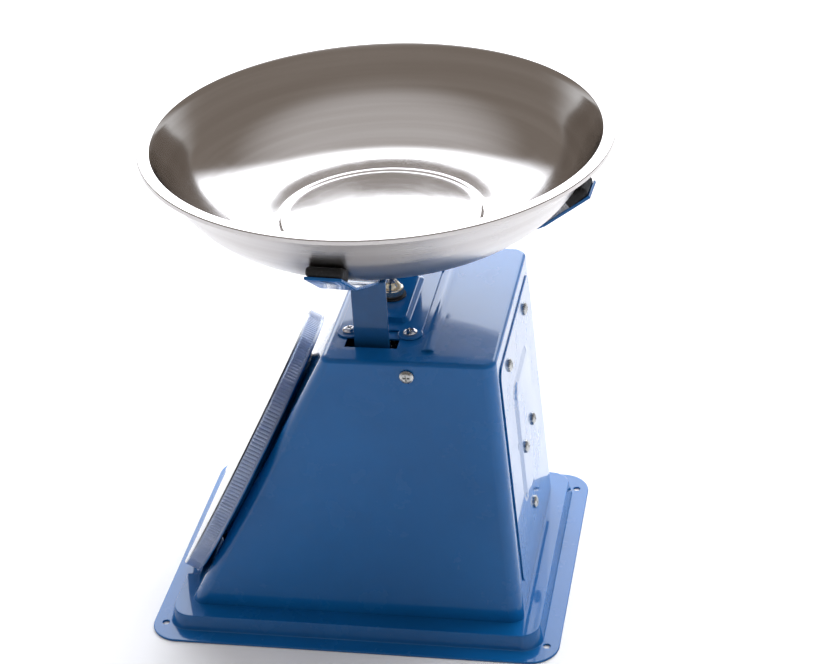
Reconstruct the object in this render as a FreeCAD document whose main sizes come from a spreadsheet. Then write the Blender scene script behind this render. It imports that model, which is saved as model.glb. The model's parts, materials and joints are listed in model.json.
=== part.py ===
import FreeCAD, Part
import math
import os
import Sketcher

# Dial table scale: a tapered sheet-metal case on a flanged base, a sloping dial case in front, a strap
# carrier that comes up through the top on four arms, and a loose steel bowl.
# Frame: origin at the centre of the base's underside, +Z up, dial towards -Y, back cover towards +Y.

DRIVING = {
    # base tray
    "flange_half_x": 111, "flange_half_y": 138, "flange_corner": 20, "flange_thick": 1.6,
    "step_half_x": 100, "step_half_y": 127, "step_corner": 14, "step_inset": 2.5, "step_top": 12,
    "base_hole_x": 92.5, "base_hole_y": 129.5, "base_hole_radius": 2.25, "sheet": 1.2,
    "relief_half_x": 50, "relief_y": 116,
    # case
    "case_top": 205.5, "case_top_half_x": 79.5, "case_bottom_half_x": 83.7,
    "case_top_front": -10, "case_top_back": 100.5, "case_bottom_back": 113,
    "case_corner": 9, "opening_half_x": 56, "opening_low": 46, "opening_high": 172,
    # top slots, cover plate and zero knob
    "strap_centre_y": 19, "slot_centre_x": 56, "slot_half_x": 6.2, "slot_half_y": 17,
    "plate_centre_y": 21.8, "plate_half_y": 27, "plate_thick": 1.2,
    "plate_screw_x": 43.7, "plate_screw_y": 19.7, "plateau_half_x": 33, "plateau_half_y": 18,
    "plateau_rise": 2.6, "plateau_draft": 4, "knob_radius": 7, "zero_screw_radius": 3,
    # carrier
    "strap_half_y": 11.25, "strap_half_x": 57, "strap_thick": 2, "strap_low": 40, "strap_high": 250,
    "beam_z": 112, "beam_thick": 3, "beam_half_y": 9, "travel": 15,
    # holder and bowl
    "arm_half_width": 11.5, "arm_thick": 2, "arm_flat": 60, "arm_knee": 108, "arm_knee_rise": 22,
    "arm_tip": 137, "arm_rise": 43.5, "holder_turn": -3.5, "pad_high": 8.5, "pad_along": 16,
    "bowl_centre_y": 18.5, "bowl_bottom": 268, "bowl_flat": 70, "bowl_arc": 70.5,
    "bowl_wall": 1, "bowl_rim": 150, "bowl_rim_top": 327, "bowl_rim_width": 7.6, "bowl_lip": 3,
    "bowl_well": 64, "bowl_well_depth": 1.2, "bowl_wall_angle": 58,
    # dial case and pointer works, on the sloping front face
    "dial_down": 133.5, "dial_radius": 97, "dial_lip_radius": 98, "dial_back": 4.4, "dial_front": 15.7,
    "dial_wall": 2, "dial_edge": 1.2, "pan_radius": 95, "pan_seat": 70, "face_radius": 92,
    "shaft_radius": 1.5, "pinion_radius": 3, "rack_depth": 22, "pointer_length": 76,
    # guides, damper and springs
    "guide_pivot_y": 84, "upper_guide_z": 165, "lower_guide_z": 58, "guide_pin_radius": 2,
    "damper_radius": 16, "spring_x": 30, "spring_radius": 7.5, "spring_wire": 1.1,
    "spring_length": 40, "spring_pitch": 2.9,
    # common fastener
    "screw_head_radius": 4.5, "screw_head_high": 2.4, "screw_radius": 2,
}

# The front face falls 15 for every 8 it runs forward: an 8-15-17 triangle.
SLOPE_RUN = 8 / 17
SLOPE_FALL = 15 / 17
RUNNING = 0.05

doc = FreeCAD.newDocument("bench_scale")
sheet = doc.addObject("Spreadsheet::Sheet", "Sizes")
for row, (alias, value) in enumerate(DRIVING.items(), start=1):
    sheet.set(f"A{row}", alias)
    sheet.set(f"B{row}", str(value))
    sheet.setAlias(f"B{row}", alias)
doc.recompute()


class Size:
    """A driving size, or a sum of them: its number places geometry and its text binds it to the sheet."""

    def __init__(self, value, text):
        self.value = float(value)
        self.text = text

    def joined(self, other, sign, result):
        return Size(result, f"({self.text} {sign} {as_size(other).text})")

    def __add__(self, other):
        return self.joined(other, "+", self.value + as_size(other).value)

    def __sub__(self, other):
        return self.joined(other, "-", self.value - as_size(other).value)

    def __mul__(self, other):
        return self.joined(other, "*", self.value * as_size(other).value)

    def __truediv__(self, other):
        return self.joined(other, "/", self.value / as_size(other).value)

    def __radd__(self, other):
        return as_size(other) + self

    def __rsub__(self, other):
        return as_size(other) - self

    def __rmul__(self, other):
        return as_size(other) * self

    def __neg__(self):
        return as_size(0) - self


def as_size(number):
    return number if isinstance(number, Size) else Size(number, f"({float(number):.6f})")


def driving(alias):
    return Size(sheet.get(alias), f"Sizes.{alias}")


class Sizes:
    """The sheet's cells by name."""


D = Sizes()
for alias in DRIVING:
    setattr(D, alias, driving(alias))

# Sizes that several pieces share.
case_low = D.step_top
case_rise = D.case_top - case_low
case_bottom_front = D.case_top_front - case_rise * (8 / 15)
dial_y = D.case_top_front - D.dial_down * SLOPE_RUN
dial_z = D.case_top - D.dial_down * SLOPE_FALL
dial_angle = math.degrees(math.atan2(SLOPE_FALL, SLOPE_RUN))
BACK_LEAN = math.degrees(math.atan2(D.case_bottom_back.value - D.case_top_back.value, case_rise.value))


# Building helpers

def bind(thing, prop, value):
    value = as_size(value)
    thing.setExpression(prop, value.text)


def add(kind, name, **bound):
    thing = doc.addObject(kind, name)
    for prop, value in bound.items():
        bind(thing, prop, value)
    return thing


def locate(thing, x=0, y=0, z=0, axis=None, angle=0):
    if axis:
        thing.Placement = FreeCAD.Placement(FreeCAD.Vector(), FreeCAD.Rotation(FreeCAD.Vector(*axis), angle))
    for letter, value in zip("xyz", (x, y, z)):
        bind(thing, f"Placement.Base.{letter}", value)
    return thing


def box(name, xs, ys, zs):
    thing = add("Part::Box", name, Length=xs[1] - xs[0], Width=ys[1] - ys[0], Height=zs[1] - zs[0])
    return locate(thing, xs[0], ys[0], zs[0])


def mirrored_boxes(name, xs, ys, zs):
    """A box and its mirror image across X = 0."""
    return [box(f"{name}_a", xs, ys, zs), box(f"{name}_b", (-as_size(xs[1]), -as_size(xs[0])), ys, zs)]


def post(name, radius, x, y, low, high):
    thing = add("Part::Cylinder", name, Radius=radius, Height=high - as_size(low))
    return locate(thing, x, y, low)


def cross_pin(name, radius, left, right, y, z):
    """A cylinder along X."""
    thing = add("Part::Cylinder", name, Radius=radius, Height=right - as_size(left))
    return locate(thing, left, y, z, (0, 1, 0), 90)


def fuse(name, shapes):
    thing = doc.addObject("Part::MultiFuse", name)
    thing.Shapes = shapes
    thing.Refine = True
    return thing


def cut(name, base, tools):
    tool = tools[0] if len(tools) == 1 else fuse(f"{name}_tools", tools)
    thing = doc.addObject("Part::Cut", name)
    thing.Base = base
    thing.Tool = tool
    return thing


def group(name, shapes):
    """Several separate solids in one node."""
    thing = doc.addObject("Part::Compound", name)
    thing.Links = shapes
    return thing


def on_face(thing):
    """Moves a piece drawn about the dial's centre, +Z outwards, onto the sloping face."""
    return locate(thing, 0, dial_y, dial_z, (1, 0, 0), dial_angle)


def on_back(thing, z):
    """Moves a piece drawn flat, +Z outwards and -Y upwards, onto the leaning back face at height z."""
    lean = D.case_bottom_back - (as_size(z) - case_low) * ((D.case_bottom_back - D.case_top_back) / case_rise)
    return locate(thing, 0, lean, z, (1, 0, 0), -90 + BACK_LEAN)


def new_body(name):
    return doc.addObject("PartDesign::Body", name)


def origin_plane(body, role):
    return next(f for f in body.Origin.OriginFeatures if f.Role == role)


def new_sketch(body, name, role, height=0):
    sketch = body.newObject("Sketcher::SketchObject", name)
    sketch.AttachmentSupport = (origin_plane(body, role), [""])
    sketch.MapMode = "FlatFace"
    bind(sketch, "AttachmentOffset.Base.z", height)
    return sketch


def hold_point(sketch, geometry, end, point):
    """Ties one sketch point to the sheet, or to an axis where a coordinate is plain zero."""
    for value, kind, axis in ((point[0], "DistanceX", -2), (point[1], "DistanceY", -1)):
        if not isinstance(value, Size) and value == 0:
            sketch.addConstraint(Sketcher.Constraint("PointOnObject", geometry, end, axis))
            continue
        size = as_size(value)
        index = sketch.addConstraint(Sketcher.Constraint(kind, -1, 1, geometry, end, size.value))
        sketch.setExpression(f"Constraints[{index}]", size.text)


def outline(sketch, points, arcs=None):
    """A closed outline through the points. arcs maps an edge's number to its centre and turning sense."""
    arcs = arcs or {}
    flat = [FreeCAD.Vector(as_size(x).value, as_size(y).value, 0) for x, y in points]
    starts = []
    ends = []
    for i, start in enumerate(flat):
        finish = flat[(i + 1) % len(flat)]
        if i in arcs:
            centre, sense = arcs[i]
            centre = FreeCAD.Vector(as_size(centre[0]).value, as_size(centre[1]).value, 0)
            circle = Part.Circle(centre, FreeCAD.Vector(0, 0, 1), (start - centre).Length)
            first, last = (start, finish) if sense > 0 else (finish, start)
            a = math.atan2(first.y - centre.y, first.x - centre.x)
            b = math.atan2(last.y - centre.y, last.x - centre.x)
            b = b if b > a else b + 2 * math.pi
            sketch.addGeometry(Part.ArcOfCircle(circle, a, b))
            starts.append(1 if sense > 0 else 2)
            ends.append(2 if sense > 0 else 1)
        else:
            sketch.addGeometry(Part.LineSegment(start, finish))
            starts.append(1)
            ends.append(2)
    count = len(flat)
    for i in range(count):
        following = (i + 1) % count
        sketch.addConstraint(Sketcher.Constraint("Coincident", i, ends[i], following, starts[following]))
    for i, point in enumerate(points):
        hold_point(sketch, i, starts[i], point)
    return sketch


def rounded(sketch, x_half, y_low, y_high, corner):
    """A rectangle with round corners, symmetric about X = 0."""
    x, low, high, r = (as_size(v) for v in (x_half, y_low, y_high, corner))
    points = [(x, low + r), (x, high - r), (x - r, high), (-x + r, high),
              (-x, high - r), (-x, low + r), (-x + r, low), (x - r, low)]
    arcs = {1: ((x - r, high - r), 1), 3: ((-x + r, high - r), 1),
            5: ((-x + r, low + r), 1), 7: ((x - r, low + r), 1)}
    return outline(sketch, points, arcs)


def pad(body, sketch, length, name, midplane=False):
    feature = body.newObject("PartDesign::Pad", name)
    feature.Profile = sketch
    bind(feature, "Length", length)
    feature.Midplane = midplane
    body.Tip = feature
    return body


def extruded(name, role, points, length, height=0, arcs=None, midplane=False):
    body = new_body(name)
    sketch = new_sketch(body, f"{name}_outline", role, height)
    outline(sketch, points, arcs)
    return pad(body, sketch, length, f"{name}_pad", midplane)


def slab(name, x_half, y_low, y_high, corner, low, thick):
    """A round-cornered plate."""
    body = new_body(name)
    sketch = new_sketch(body, f"{name}_outline", "XY_Plane", low)
    rounded(sketch, x_half, y_low, y_high, corner)
    return pad(body, sketch, thick, f"{name}_pad")


def spun(name, points, arcs=None):
    """A body of revolution about Z. Points are (radius, height)."""
    body = new_body(name)
    sketch = new_sketch(body, f"{name}_profile", "XZ_Plane")
    outline(sketch, points, arcs)
    turn = body.newObject("PartDesign::Revolution", f"{name}_turn")
    turn.Profile = sketch
    turn.ReferenceAxis = (sketch, ["V_Axis"])
    turn.Angle = 360
    body.Tip = turn
    return body


def lofted(name, low_section, high_section, low, high):
    """A ruled loft between two round-cornered rectangles."""
    body = new_body(name)
    lower = new_sketch(body, f"{name}_low", "XY_Plane", low)
    rounded(lower, *low_section)
    upper = new_sketch(body, f"{name}_high", "XY_Plane", high)
    rounded(upper, *high_section)
    doc.recompute()
    loft = body.newObject("PartDesign::AdditiveLoft", f"{name}_loft")
    loft.Profile = lower
    loft.Sections = [upper]
    loft.Ruled = True
    body.Tip = loft
    return body


def pan_screw(name, length):
    """A pan-head screw with a cross recess, its head's underside at Z = 0 and its shank pointing down."""
    head = spun(f"{name}_form",
                [(0, D.screw_head_high), (D.screw_head_radius * 0.55, D.screw_head_high),
                 (D.screw_head_radius, D.screw_head_high * 0.45), (D.screw_head_radius, 0.0001),
                 (D.screw_radius, 0.0001), (D.screw_radius, -as_size(length)), (0, -as_size(length))])
    low = D.screw_head_high - 1.3
    high = D.screw_head_high + 1
    slots = [box(f"{name}_slot_a", (-2.2, as_size(2.2)), (-0.45, as_size(0.45)), (low, high)),
             box(f"{name}_slot_b", (-0.45, as_size(0.45)), (-2.2, as_size(2.2)), (low, high))]
    return cut(name, head, slots)


def screws(name, length, places, seat=None):
    """Copies of one pan-head screw. Each place is (x, y, z, axis, angle)."""
    links = []
    for i, (x, y, z, axis, angle) in enumerate(places):
        screw = pan_screw(f"{name}_{i + 1}", length)
        links.append(locate(screw, x, y, z, axis, angle))
    node = group(name, links)
    return seat(node) if seat else node


# Base and case

def base_tray():
    flange = slab("flange", D.flange_half_x, -D.flange_half_y, D.flange_half_y, D.flange_corner, 0,
                  D.flange_thick)
    inset = D.step_inset
    step = lofted("step", (D.step_half_x, -D.step_half_y, D.step_half_y, D.step_corner),
                  (D.step_half_x - inset, inset - D.step_half_y, D.step_half_y - inset, D.step_corner),
                  0, D.step_top)
    relief = box("dial_relief", (-D.relief_half_x, D.relief_half_x), (-D.flange_half_y, -D.relief_y),
                 (D.flange_thick, D.step_top + 1))
    form = fuse("tray_form", [flange, cut("step_relieved", step, [relief])])
    wall = D.sheet
    hollow = lofted("hollow", (D.step_half_x - wall, wall - D.step_half_y, D.step_half_y - wall,
                               D.step_corner - wall),
                    (D.step_half_x - inset - wall, inset + wall - D.step_half_y,
                     D.step_half_y - inset - wall, D.step_corner - wall), 0, D.step_top - wall)
    kept = box("relief_wall", (-D.relief_half_x - wall, D.relief_half_x + wall),
               (-D.flange_half_y, wall - D.relief_y), (as_size(0), D.step_top + 1))
    holes = [post(f"base_hole_{i}", D.base_hole_radius, sx * D.base_hole_x, sy * D.base_hole_y, -1,
                  D.flange_thick + 1)
             for i, (sx, sy) in enumerate(((1, 1), (1, -1), (-1, 1), (-1, -1)))]
    screw_holes = [post(f"tray_screw_hole_{i}", D.screw_radius + RUNNING, sx * 70, y, 5, D.step_top + 1)
                   for i, (sx, y) in enumerate(CASE_FEET)]
    return cut("base_tray", form, [cut("hollow_kept", hollow, [kept])] + holes + screw_holes)


CASE_FEET = ((1, 92), (-1, 92), (1, -84), (-1, -84))


def base_screws():
    places = [(sx * 70, y, D.step_top - D.sheet, (1, 0, 0), 180) for sx, y in CASE_FEET]
    return screws("base_screws", 6, places)


def case_shell():
    front = case_bottom_front
    outer = lofted("case_outer", (D.case_bottom_half_x, front, D.case_bottom_back, D.case_corner),
                   (D.case_top_half_x, D.case_top_front, D.case_top_back, D.case_corner),
                   case_low, D.case_top)
    wall = D.sheet
    inner = lofted("case_inner", (D.case_bottom_half_x - wall, front + wall * 1.14, D.case_bottom_back - wall,
                                  D.case_corner - wall),
                   (D.case_top_half_x - wall, D.case_top_front + wall * 1.14, D.case_top_back - wall,
                    D.case_corner - wall), case_low - 0.0001, D.case_top - wall)
    slots = []
    for side in (1, -1):
        middle = side * D.slot_centre_x
        slots.append(box(f"top_slot_{side + 1}", (middle - D.slot_half_x, middle + D.slot_half_x),
                         (D.strap_centre_y - D.slot_half_y, D.strap_centre_y + D.slot_half_y),
                         (D.case_top - 5, D.case_top + 5)))
    opening = box("back_opening", (-D.opening_half_x, D.opening_half_x),
                  (D.case_top_back - 8, D.case_bottom_back + 5), (D.opening_low, D.opening_high))
    screw_hole = post("zero_screw_hole", D.zero_screw_radius + 1, 0, D.plate_centre_y, D.case_top - 5,
                      D.case_top + 5)
    side_holes = cross_pin("side_screw_holes", D.screw_radius + RUNNING, -90, 90, SIDE_SCREW_Y, SIDE_SCREW_Z)
    bush_hole = on_face(spun("bush_hole", [(0, -6), (BUSH_RADIUS, -6), (BUSH_RADIUS, 6), (0, 6)]))
    pan_holes = on_face(group("pan_screw_holes", [
        post(f"pan_screw_hole_{i}", D.screw_radius + RUNNING, x, y, -6, 6)
        for i, (x, y) in enumerate(PAN_SCREWS)]))
    back_holes = on_back(group("back_screw_holes", [
        post(f"back_screw_hole_{i}", D.screw_radius + RUNNING, x, y, -6, 6)
        for i, (x, y) in enumerate(BACK_SCREWS)]), BACK_MIDDLE)
    plate_holes = [post(f"plate_screw_hole_{i}", D.screw_radius + RUNNING, x, y, D.case_top - 5,
                        D.case_top + 5) for i, (x, y) in enumerate(plate_screw_places())]
    hollow = cut("case_hollow", outer, [inner])
    openings = slots + [opening, screw_hole, side_holes, bush_hole, pan_holes, back_holes] + plate_holes
    rib = extruded("top_rib", "YZ_Plane", [(50.5, D.case_top - 0.6), (61.5, D.case_top - 0.6),
                                           (58, D.case_top + 1.6), (54, D.case_top + 1.6)],
                   128, midplane=True)
    feet = [slab(f"case_foot_{i}", 8, -8, 8, 3, case_low, D.sheet) for i in range(len(CASE_FEET))]
    for foot, (side, y) in zip(feet, CASE_FEET):
        locate(foot, side * 74.5, y, 0)
    foot_holes = [post(f"foot_hole_{i}", D.screw_radius + RUNNING, side * 70, y, case_low - 2, case_low + 4)
                  for i, (side, y) in enumerate(CASE_FEET)]
    footed = fuse("case_footed", [cut("case_open", hollow, openings), rib] + feet)
    return cut("case_shell", footed, foot_holes)


SIDE_SCREW_Y = 44.8
SIDE_SCREW_Z = 196
BUSH_RADIUS = 5
PAN_SCREWS = ((45, 30), (-45, 30), (45, -30), (-45, -30))
BACK_MIDDLE = 112
BACK_SCREWS = ((37, -70), (-37, -70), (17.4, 4), (-17.4, 4), (0, 60))


def plate_screw_places():
    return [(sx * D.plate_screw_x, D.plate_centre_y + sy * D.plate_screw_y)
            for sx in (1, -1) for sy in (1, -1)]


def side_screws():
    x = D.case_top_half_x + 0.32
    return screws("side_screws", 8, [(x, SIDE_SCREW_Y, SIDE_SCREW_Z, (0, 1, 0), 90),
                                     (-x, SIDE_SCREW_Y, SIDE_SCREW_Z, (0, 1, 0), -90)])


def back_cover():
    sheet_piece = slab("cover_sheet", 68, -82, 81, 8, 0, 1)
    boss = lofted("cover_boss", (32, -50, 44, 10), (28, -46, 40, 8), 0.9, 2.4)
    plain = fuse("cover_form", [sheet_piece, boss])
    hollow = lofted("cover_boss_hollow", (31, -49, 43, 10), (27, -45, 39, 8), -0.1, 1.4)
    holes = [post(f"cover_hole_{i}", D.screw_radius + RUNNING, x, y, -3, 6)
             for i, (x, y) in enumerate(BACK_SCREWS)]
    return on_back(cut("back_cover", plain, [hollow] + holes), BACK_MIDDLE)


def back_cover_screws():
    places = []
    for x, y in BACK_SCREWS:
        raised = 2.4 if abs(x) < 28 and -46 < y < 40 else 1
        places.append((x, y, raised, (0, 0, 1), 20 + 9 * y % 70))
    return screws("back_cover_screws", 8, places, lambda node: on_back(node, BACK_MIDDLE))


# Top plate and zero adjuster

def top_plate():
    centre = D.plate_centre_y
    ears = [post(f"plate_ear_{i}", 8, x, y, D.case_top, D.case_top + D.plate_thick)
            for i, (x, y) in enumerate(plate_screw_places())]
    main = slab("plate_main", D.plateau_half_x + 8, centre - D.plate_half_y, centre + D.plate_half_y, 3,
                D.case_top, D.plate_thick)
    high = D.case_top + D.plateau_rise
    draft = D.plateau_draft
    plateau = lofted("plateau", (D.plateau_half_x, centre - D.plateau_half_y, centre + D.plateau_half_y, 5),
                     (D.plateau_half_x - draft, centre - D.plateau_half_y + draft,
                      centre + D.plateau_half_y - draft, 4), D.case_top, high + D.plate_thick)
    under = lofted("plateau_under",
                   (D.plateau_half_x - 1.5, centre - D.plateau_half_y + 1.5,
                     centre + D.plateau_half_y - 1.5, 4),
                   (D.plateau_half_x - draft - 1, centre - D.plateau_half_y + draft + 1,
                    centre + D.plateau_half_y - draft - 1, 3), D.case_top - 0.1, high)
    holes = [post(f"ear_hole_{i}", D.screw_radius + RUNNING, x, y, D.case_top - 2, D.case_top + 5)
             for i, (x, y) in enumerate(plate_screw_places())]
    holes.append(post("knob_hole", D.zero_screw_radius + RUNNING, 0, centre, D.case_top - 2, D.case_top + 8))
    return cut("top_plate", fuse("plate_form", ears + [main, plateau]), [under] + holes)


def top_plate_screws():
    places = [(x, y, D.case_top + D.plate_thick, (0, 0, 1), 17 + 23 * i)
              for i, (x, y) in enumerate(plate_screw_places())]
    return screws("top_plate_screws", 6, places)


def zero_adjuster():
    seat = D.case_top + D.plateau_rise + D.plate_thick
    washer = spun("knob_washer", [(D.zero_screw_radius + RUNNING, seat + 0.1), (9.5, seat + 0.1),
                                  (9.5, seat + 1.1), (D.zero_screw_radius + RUNNING, seat + 1.1)])
    locate(washer, 0, D.plate_centre_y, 0)
    low = seat + 1.2
    knob = spun("zero_knob", [(D.zero_screw_radius, low), (D.knob_radius + 1, low),
                              (D.knob_radius + 1, low + 3.4), (D.knob_radius, low + 4.2),
                              (D.knob_radius - 0.6, low + 7.6), (D.zero_screw_radius + 1.2, low + 9.4),
                              (D.zero_screw_radius, low + 9.4)])
    locate(knob, 0, D.plate_centre_y, 0)
    screw = spun("zero_screw", [(0, 171), (D.zero_screw_radius - 0.6, 171), (D.zero_screw_radius, 171.8),
                                (D.zero_screw_radius, low + 9.4), (D.zero_screw_radius + 1, low + 9.4),
                                (D.zero_screw_radius - 0.6, low + 11), (0, low + 11.4)])
    locate(screw, 0, D.plate_centre_y, 0)
    bar = box("bracket_bar", (-38, as_size(38)), (D.plate_centre_y - 7, D.plate_centre_y + 7),
              (BRACKET_Z, as_size(BRACKET_Z) + 3))
    nut = post("bracket_nut", 7, 0, D.plate_centre_y, BRACKET_Z - 4, BRACKET_Z + 1)
    bores = [post("bracket_bore", D.zero_screw_radius + RUNNING, 0, D.plate_centre_y, 160, 200)]
    for side in (1, -1):
        bores.append(box(f"hook_hole_{side + 1}", (side * D.spring_x - 1.6, side * D.spring_x + 1.6),
                         (D.strap_centre_y - 5.8, D.strap_centre_y + 5.8), (as_size(170), as_size(190))))
    bracket = cut("zero_bracket", fuse("bracket_form", [bar, nut]), bores)
    return [washer, knob, screw, bracket]


BRACKET_Z = 179


# Springs

def main_spring(name, x):
    """An open coil whose ends grip a hooked plug each."""
    helix = add("Part::Helix", f"{name}_line", Radius=D.spring_radius, Height=D.spring_length,
                Pitch=D.spring_pitch)
    wire = add("Part::Circle", f"{name}_wire", Radius=D.spring_wire)
    locate(wire, D.spring_radius, 0, 0, (1, 0, 0), 90)
    sweep = doc.addObject("Part::Sweep", name)
    sweep.Sections = [wire]
    sweep.Spine = (helix, ["Edge1"])
    sweep.Solid = True
    sweep.Frenet = True
    return locate(sweep, x, D.strap_centre_y, SPRING_LOW)


SPRING_LOW = D.beam_z + 13


def spring_plugs(name, mouth, out):
    """A plug inside each coil's end and a ring hook through the plate beyond it. out is +1 above the coil."""
    made = []
    grip = D.spring_radius - D.spring_wire - 0.2
    for side in (1, -1):
        ends = (0, 7) if out < 0 else (-7, 0)
        plug = post(f"{name}_plug_{side + 1}", grip, 0, 0, *ends)
        stem = post(f"{name}_stem_{side + 1}", 1.5, 0, 0, *((-5, 1) if out < 0 else (-1, 5)))
        ring = add("Part::Torus", f"{name}_ring_{side + 1}", Radius1=4.2, Radius2=1.3)
        locate(ring, 0, 0, out * 8.6, (0, 1, 0), 90)
        piece = fuse(f"{name}_{side + 1}", [plug, stem, ring])
        made.append(locate(piece, side * D.spring_x, D.strap_centre_y, mouth))
    return group(name, made)


# Carrier

def carrier_strap():
    ys = (D.strap_centre_y - D.strap_half_y, D.strap_centre_y + D.strap_half_y)
    inner = D.strap_half_x - D.strap_thick
    legs = mirrored_boxes("strap_leg", (inner, D.strap_half_x), ys, (D.strap_low, D.strap_high))
    bridge = box("strap_bridge", (-D.strap_half_x, D.strap_half_x), ys,
                 (D.strap_high - D.strap_thick, D.strap_high))
    holes = [post("holder_screw_hole", D.screw_radius + RUNNING, 0, D.strap_centre_y, 240, 260)]
    for z in (D.upper_guide_z + D.travel / 2, D.lower_guide_z + D.travel / 2):
        holes.append(cross_pin(f"stud_hole_{len(holes)}", D.guide_pin_radius, -70, 70, D.strap_centre_y, z))
    for y in BEAM_SCREW_Y:
        holes.append(cross_pin(f"strap_screw_hole_{len(holes)}", 1.55, -70, 70, D.strap_centre_y + y,
                               D.beam_z + 7))
    return cut("carrier_strap", fuse("strap_form", legs + [bridge]), holes)


BEAM_SCREW_Y = (-5, 5)


def guide_studs():
    studs = []
    for i, z in enumerate((D.upper_guide_z + D.travel / 2, D.lower_guide_z + D.travel / 2)):
        for side in (1, -1):
            ends = (D.strap_half_x - D.strap_thick, as_size(63))
            left, right = ends if side > 0 else (-ends[1], -ends[0])
            studs.append(cross_pin(f"stud_{i}_{side + 1}", D.guide_pin_radius, left, right,
                                   D.strap_centre_y, z))
    return group("guide_studs", studs)


def spring_beam():
    inner = D.strap_half_x - D.strap_thick
    ys = (D.strap_centre_y - D.beam_half_y, D.strap_centre_y + D.beam_half_y)
    top = D.beam_z + D.beam_thick
    bar = box("beam_bar", (-inner, inner), ys, (D.beam_z, top))
    tabs = mirrored_boxes("beam_tab", (inner - 2, inner), ys, (D.beam_z, D.beam_z + 12))
    tongue = box("beam_tongue", (as_size(12), as_size(14)), (as_size(-37), D.strap_centre_y),
                 (D.beam_z, D.beam_z + 11))
    holes = [post("damper_rod_hole", 2, 0, D.strap_centre_y, 100, 130)]
    for side in (1, -1):
        holes.append(box(f"beam_hook_hole_{side + 1}", (side * D.spring_x - 1.6, side * D.spring_x + 1.6),
                         (D.strap_centre_y - 5.8, D.strap_centre_y + 5.8), (as_size(100), as_size(120))))
    for y in BEAM_SCREW_Y:
        for side in (1, -1):
            holes.append(cross_pin(f"beam_screw_hole_{len(holes)}", 1.55, side * 54 - 6, side * 54 + 6,
                                   D.strap_centre_y + y, D.beam_z + 7))
    holes.append(cross_pin("tongue_hole", RACK_PIN_RADIUS, 11, 15, rack_pin_y, rack_pin_z))
    return cut("spring_beam", fuse("beam_form", [bar, tongue] + tabs), holes)


def beam_screws():
    """Cheese-head screws that hold the beam between the strap's legs."""
    made = []
    for y in BEAM_SCREW_Y:
        for side in (1, -1):
            shank = cross_pin(f"beam_shank_{len(made)}", 1.5, side * 56 - 3.5, side * 56 + 3.5,
                              D.strap_centre_y + y, D.beam_z + 7)
            low = D.strap_half_x if side > 0 else -D.strap_half_x - 1.8
            head = cross_pin(f"beam_head_{len(made)}", 3, low, low + 1.8, D.strap_centre_y + y, D.beam_z + 7)
            made.append(fuse(f"beam_screw_{len(made)}", [shank, head]))
    return group("beam_screws", made)


# Rack and pinion: module 0.6, ten teeth

MODULE = 0.6
TEETH = 10
PITCH = math.pi * MODULE
RACK_PIN_RADIUS = 1.5
RACK_PIN_UP = 46
SLOT_RUN = D.travel * (8 / 15)
rack_pin_y = dial_y + RACK_PIN_UP * SLOPE_RUN + D.rack_depth * SLOPE_FALL
rack_pin_z = dial_z + RACK_PIN_UP * SLOPE_FALL - D.rack_depth * SLOPE_RUN


def rack():
    root = D.pinion_radius + 0.8
    tip = D.pinion_radius - 0.5
    points = [(root + 5, -6), (root + 5, 54), (root, 54)]
    first = -4
    last = 12
    for n in range(last, first - 1, -1):
        middle = (n + 0.5) * PITCH
        points += [(root, middle + 0.62), (tip, middle + 0.2), (tip, middle - 0.2), (root, middle - 0.62)]
    points += [(root, -6)]
    bar = extruded("rack_bar", "XY_Plane", points, 4, -D.rack_depth - 2)
    low = D.rack_depth + 13
    head = box("rack_head", (root + 5, root + 7), (as_size(40), as_size(56)), (-low, 7 - D.rack_depth))
    joint = box("rack_web", (root, root + 7), (as_size(40), as_size(54)),
                (-D.rack_depth - 2, 2 - D.rack_depth))
    slot = box("slot_middle", (root, root + 9), (0 - SLOT_GAP, SLOT_GAP), (as_size(0), SLOT_RUN))
    ends = [cross_pin("slot_rest_end", SLOT_GAP, root, root + 9, 0, 0),
            cross_pin("slot_load_end", SLOT_GAP, root, root + 9, 0, SLOT_RUN)]
    hole = fuse("rack_slot", [slot] + ends)
    locate(hole, 0, RACK_PIN_UP, -D.rack_depth, (1, 0, 0), 180 + math.degrees(math.asin(SLOPE_RUN)))
    return on_face(cut("rack", fuse("rack_form", [bar, head, joint]), [hole]))


SLOT_GAP = as_size(RACK_PIN_RADIUS + 0.15)


def rack_pin():
    return cross_pin("rack_pin", RACK_PIN_RADIUS, 8.4, 14, rack_pin_y, rack_pin_z)


def pinion():
    """Ten thinned teeth that roll on the rack with a little backlash."""
    points = []
    tip = MODULE + D.pinion_radius - 0.1
    root = D.pinion_radius - 0.75
    for n in range(TEETH):
        middle = 2 * math.pi * n / TEETH
        for radius, turn in ((root, -0.2), (tip, -0.052), (tip, 0.052), (root, 0.2)):
            angle = middle + turn
            points.append((radius * math.cos(angle), radius * math.sin(angle)))
    toothed = extruded("pinion_teeth", "XY_Plane", points, 7, -D.rack_depth - 3.5)
    bore = post("pinion_bore", D.shaft_radius, 0, 0, -40, 0)
    return on_face(cut("pinion", toothed, [bore]))


def pointer_works():
    shaft = on_face(spun("pointer_shaft", [(0, -37.5), (D.shaft_radius, -37.5), (D.shaft_radius, 8.6),
                                           (0, 8.6)]))
    blade = extruded("pointer_blade", "XY_Plane",
                     [(-2.6, -24), (2.6, -24), (1.8, 0), (0.5, D.pointer_length), (-0.5, D.pointer_length),
                      (-1.8, 0)], 0.7, 7.2)
    boss = post("pointer_boss", 4.5, 0, 0, 6.6, 8.6)
    bore = post("pointer_bore", D.shaft_radius, 0, 0, 5, 12)
    pointer = on_face(cut("pointer", fuse("pointer_form", [blade, boss]), [bore]))
    cap = spun("pointer_cap", [(0, 8.6), (7, 8.6), (7, 9.6), (5, 11.2), (0, 11.8)])
    return [shaft, pointer, on_face(cap)]


# Dial case

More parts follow.
